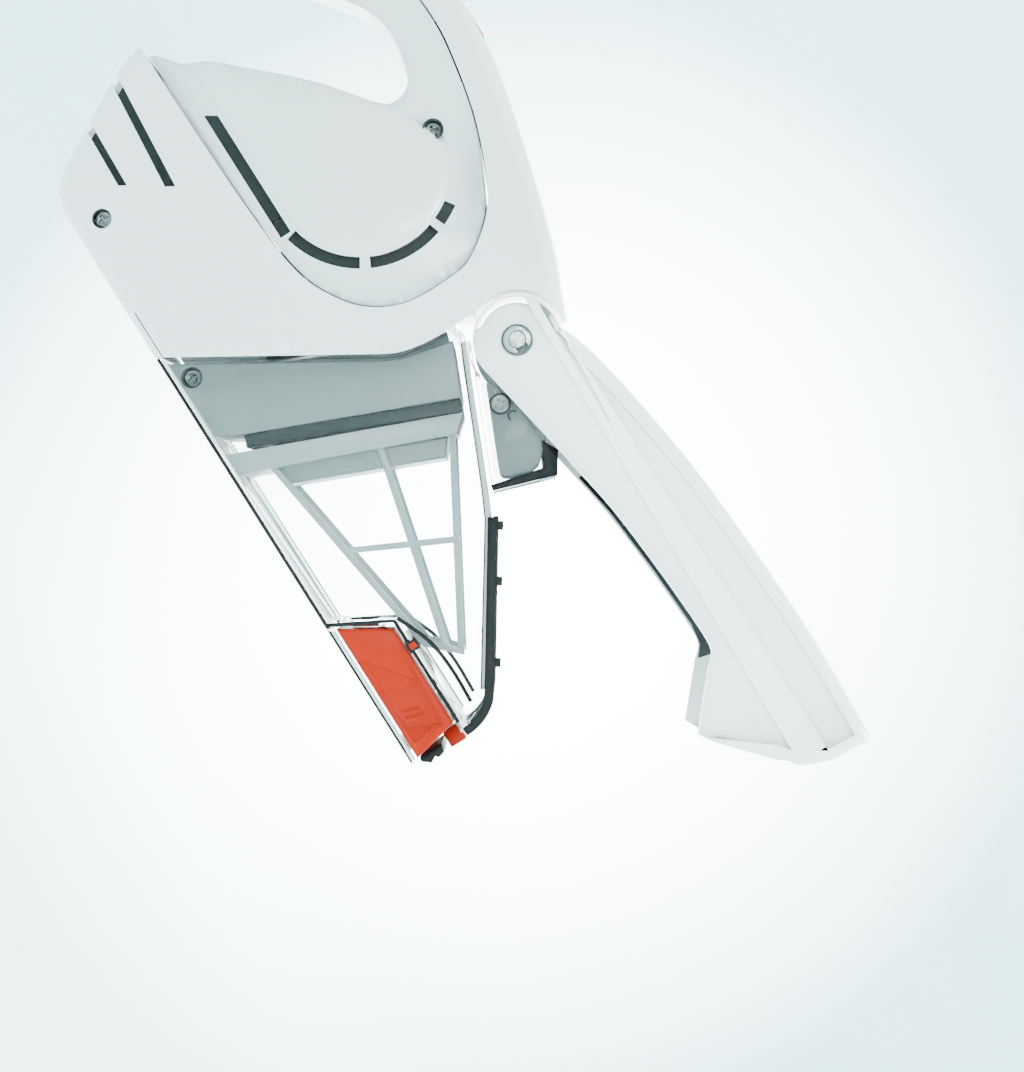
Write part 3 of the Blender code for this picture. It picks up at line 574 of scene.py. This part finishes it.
def lip_trims():
    """The bowl's top wall on edge, the wide black lip round its mouth, and the lip on the tool's end."""
    path = smooth([(56.4, 72.4), (82.0, 55.6), (109.0, 37.8), (114.2, 33.4), (116.6, 28), (117.2, 23)], 5)
    wall = [(-3.4, 98.0), (47.6, 75.2), (56.2, 71.0), (81.8, 54.0), (108.6, 36.2)]
    for side, tag in SIDES:
        band = plate("band", strip(wall, 2.2), *sided(31.2, 0.6, side))
        trim(f"bowl_wall_band_{tag}", "housing", CAGE, softened(band, 0))
        line = plate("line", strip(wall, 0.5), *sided(31.7, 0.5, side))
        trim(f"bowl_wall_line_{tag}", "housing", RUBBER, softened(line, 0))
        lip = plate("lip", strip(path, 3.4), *sided(31.6, 0.8, side))
        trim(f"bowl_lip_{tag}", "housing", RUBBER, softened(lip, 0.2))
    lip = plate("lip", [(118.2, 3.4), (118.2, 13.2), (121.6, 12.2), (122.2, 9.4), (121.0, 8.6), (122.4, 6.2),
                        (120.0, 3.0)], -24, 24)
    trim("tool_end_lip", "tool", RUBBER, softened(lip, 0.3))


def hinge_trims():
    """The wide brackets inside the hinge box, and the box's dark front corner."""
    corner = smooth([(42.6, 85.6), (45.3, 84.9), (47.2, 86.4), (48.9, 90.4), (50.3, 95.6)], 4)
    outline = arc(PIVOT, 8, 75, 232, 18) + [(14.6, 97.9)] + corner + [
        (49.6, 99.6), (41.4, 107.6), (18.2, 108)]
    for side, tag in SIDES:
        bracket = plate(f"hinge_bracket_{tag}_fine", outline, *sorted((side * 27.4, side * 24.6)), 0.5,
                        holes=[arc(PIVOT, 3.6, 0, 350, 35)])
        fit_out(softened(bracket, 0), [f"hinge_bracket_{tag}"], GREY)
        edge = plate("edge", [(47.0, 79.6), (49.2, 79.1), (57.0, 102.4), (49.2, 107.6), (42.8, 104.4),
                              (52.0, 99.8)], *sided(29.6, 0.5, side))
        trim(f"hinge_box_edge_{tag}", "housing", RUBBER, softened(edge, 0.15))
    wall = plate("wall", [(52.6, 98.6), (54.8, 96.6), (57.0, 102.4), (49.2, 107.6), (47.6, 106.8)],
                 -29.5, 29.5)
    trim("hinge_box_front", "housing", RUBBER, softened(wall, 0.3))
    hook = plate("hook", strip(arc((29.6, 100.2), 2.2, 110, 300, 10), 0.8), -28.2, -27.5)
    trim("hinge_hook", "housing", DARK, softened(hook, 0))


def filter_shadow_collar():
    """A dark grey collar between the flange and the cage, its dark tone painted shadow of the flange's front
    edge.
    """
    along, across = 0.923, -0.386
    back, front, low, high = 12.9, 20.6, -31.0, 34.0
    loop = [(-2.0 + f * along - u * across, 49.4 + f * across + u * along)
            for f, u in ((back, low), (front, low + 3), (front, high - 2), (back, high))]
    # Dark grey ring where the flange's front casts its shadow line: painted shadow, built as a piece.
    shadow_collar = cut(plate("shadow_collar", loop, -20.6, 20.6, 1.0), plate("bore", inset(loop, 2.2), -18.4, 18.4))
    trim("filter_shadow_collar", "housing", GREY, softened(shadow_collar, 0.3))


def tool_finish():
    """The tool's side panel with a shallow thumb recess and a two-bar arrow in it."""
    body = settled_copy("crevice_tool")
    recess = [(76.5, 5.2), (112.2, 5.2), (112.6, 6.4), (110.4, 16.0), (109.2, 17.4), (92, 17.6)]
    for side in (-1, 1):
        body = cut(body, plate("recess", recess, *sided(TOOL_HALF - 0.5, 4, side), 0.3))
        for mark in ([(99.6, 7.2), (100.8, 7.2), (102.6, 13.6), (101.4, 13.6)],
                     [(102.2, 7.2), (103.4, 7.2), (105.2, 13.6), (104.0, 13.6)],
                     [(104.8, 7.2), (109.4, 10.4), (106.4, 13.6)]):
            body = cut(body, plate("mark", mark, *sided(TOOL_HALF - 1.1, 4, side)))
    fit_out(softened(body, 0.25), ["crevice_tool"], ORANGE)


def door_outline(crown=False):
    """The open door. The crown runs on past it, except along its top and its tip."""
    drop, end = (14, DOOR_END + 7) if crown else (0, DOOR_END)
    under = smooth([(57.4, 109 - drop), (79.3, 112.7 - drop), (108.6, 115.2 - drop), (134.2, 116.3 - drop),
                    (142, 115.3 - drop), (146.5, 111 - drop)], 5)
    nose = [(164.6, 95.1 - drop), (169.2, 97.6 - drop / 2), (187.5, 113.7), (195.7, 120.4), (200.1, 131),
            (REACH, 147.2)]
    return under + nose + door_top() + arc(PIVOT, end, 75, 283, 30)


def door():
    """The door's shell, its upper edges rounded more than its mating edges."""
    crown = plate("door_crown", door_outline(True), -DOOR_HALF, DOOR_HALF, 5.5, steps=6)
    shell = cut(plate("door_shell_fine", door_outline(), -DOOR_HALF, DOOR_HALF, 0.6), crown, how="INTERSECT")
    inner = DOOR_HALF - DOOR_WALL
    roof = inset(door_top() + [(20, 100), (198, 100)], DOOR_WALL)[:-2]
    hollow = arc(PIVOT, DOOR_END - DOOR_WALL, 75, 215, 20) + [
        (-4, 92), (12, 85), (150, 85), (167.5, 92), (170.2, 101), (187.5, 116.5), (196, 112), (215, 112),
        (215, 142), (198.5, 146.4)] + roof[1:-1]
    shell = cut(shell, plate("hollow", hollow, -inner, inner, 2.0), rod("axle_hole", PIVOT, 5.9, -60, 60))
    gridded(shell, 8.0, ((0, -8, 200), (2, 92, 149)))
    fit_out(softened(shell, 0), ["door_shell"], DOOR_WHITE)


housing_shells()
vent_domes()
shade_sheets()
screw_hole_shades()
bowl_trims()
lip_trims()
hinge_trims()
filter_shadow_collar()
tool_finish()
door()

MADE_ABOVE = ("housing_left", "housing_right", "motor_pod", "hinge_bracket", "crevice", "door_shell")
for name in frame["nodes"]:
    if not name.startswith(MADE_ABOVE):
        smoothed(name, SCREW_STEEL if "screw" in name else SEAL_CLEAR if name == "hinge_box" else None)


# ---------------------------------------------------------------- studio and camera

def studio():
    """A pale floor that rises into a glowing wall all round, and soft lights. The wall's glow lights the
    object like a lamp and also paints a pool of light: white behind the object, dim pale cyan towards the
    rim and dark in front. The floor's colour is painted the same way, white fading to pale cyan.
    """
    floor_level = -0.34
    profile = smooth([(0.0, 0.0), (1.2, 0.0), (2.0, 0.02), (2.6, 0.2), (3.0, 0.6), (3.2, 1.4),
                      (3.2, 5.0)], 4)
    mesh = bpy.data.meshes.new("floor")
    mesh.from_pydata([(r, 0, floor_level + h) for r, h in profile], [
        (i, i + 1) for i in range(len(profile) - 1)], [])
    floor = as_object("floor", mesh)
    turn = floor.modifiers.new("turn", "SCREW")
    turn.steps = turn.render_steps = 96
    turn.merge_threshold = 0.0001
    turn.use_merge_vertices = True
    floor = settled(floor)
    floor.data.shade_smooth()
    made = bpy.data.materials.new("pale_floor")
    made.use_nodes = True
    tree = made.node_tree
    shader = tree.nodes["Principled BSDF"]
    shader.inputs["Roughness"].default_value = 0.9
    where = node(tree, "ShaderNodeTexCoord", {}, output=3)
    part = node(tree, "ShaderNodeSeparateXYZ", {}, where)
    across = Socket(tree, part.link.node.outputs[0]) - 0.09
    behind = Socket(tree, part.link.node.outputs[1])
    up = Socket(tree, part.link.node.outputs[2]) - 0.05
    spread = (across * across + up * up) ** 0.5 / (behind + 1.0)
    # Painted pool of light: colour and glow are white behind the object and fade to pale cyan towards the
    # rim.
    rim = ((spread - 0.05) / 0.17).clamped()
    painted_vignette_color = shades(tree, rim, (0.93, 0.96, 0.96), (0.80, 0.90, 0.91))
    glow_and_painted_pool = shades(tree, rim, (1.0, 1.0, 1.0), (0.035, 0.10, 0.102))
    front = (behind * -0.8 + 1.2).clamped()
    glow_and_painted_pool = shades(tree, front, glow_and_painted_pool, (0.012, 0.0145, 0.015))
    tree.links.new(painted_vignette_color.link, shader.inputs["Base Color"])
    tree.links.new(glow_and_painted_pool.link, shader.inputs["Emission Color"])
    shader.inputs["Emission Strength"].default_value = 14.0
    floor.data.materials.append(made)

    world = bpy.data.worlds.new("studio")
    bpy.context.scene.world = world
    world.use_nodes = True
    background = world.node_tree.nodes["Background"]
    background.inputs["Color"].default_value = (0.93, 0.98, 1.0, 1)
    background.inputs["Strength"].default_value = 0.3
    for name, place, size, power in (("key", (1.0, -0.12, 1.3), 0.9, 110.0),
                                     ("card", (0.12, -1.04, 0.33), 0.36, 6.0),
                                     ("rim", (0.5, 1.2, 0.9), 1.2, 40.0)):
        light = bpy.data.lights.new(name, "AREA")
        light.size = size
        light.energy = power
        lamp = as_object(name, light)
        lamp.location = place
        lamp.rotation_euler = (Vector((0, 0, 0.08)) - Vector(place)).to_track_quat("-Z", "Y").to_euler()


def camera():
    """Looks straight at the side, rolled so that the nose points down to the right."""
    roll = math.radians(57.78)
    right = Vector((math.cos(roll), 0, math.sin(roll)))
    up = Vector((-math.sin(roll), 0, math.cos(roll)))
    back = Vector((0, -1, 0))
    lens = bpy.data.cameras.new("camera")
    lens.sensor_fit = "HORIZONTAL"
    lens.sensor_width = 36
    lens.lens = 92.5
    lens.clip_start = 0.05
    seen = as_object("camera", lens)
    place = Vector((0.06705, -1.0, 0.0762))
    seen.matrix_world = Matrix.Translation(place) @ Matrix((right, up, back)).transposed().to_4x4()
    bpy.context.scene.camera = seen


studio()
camera()
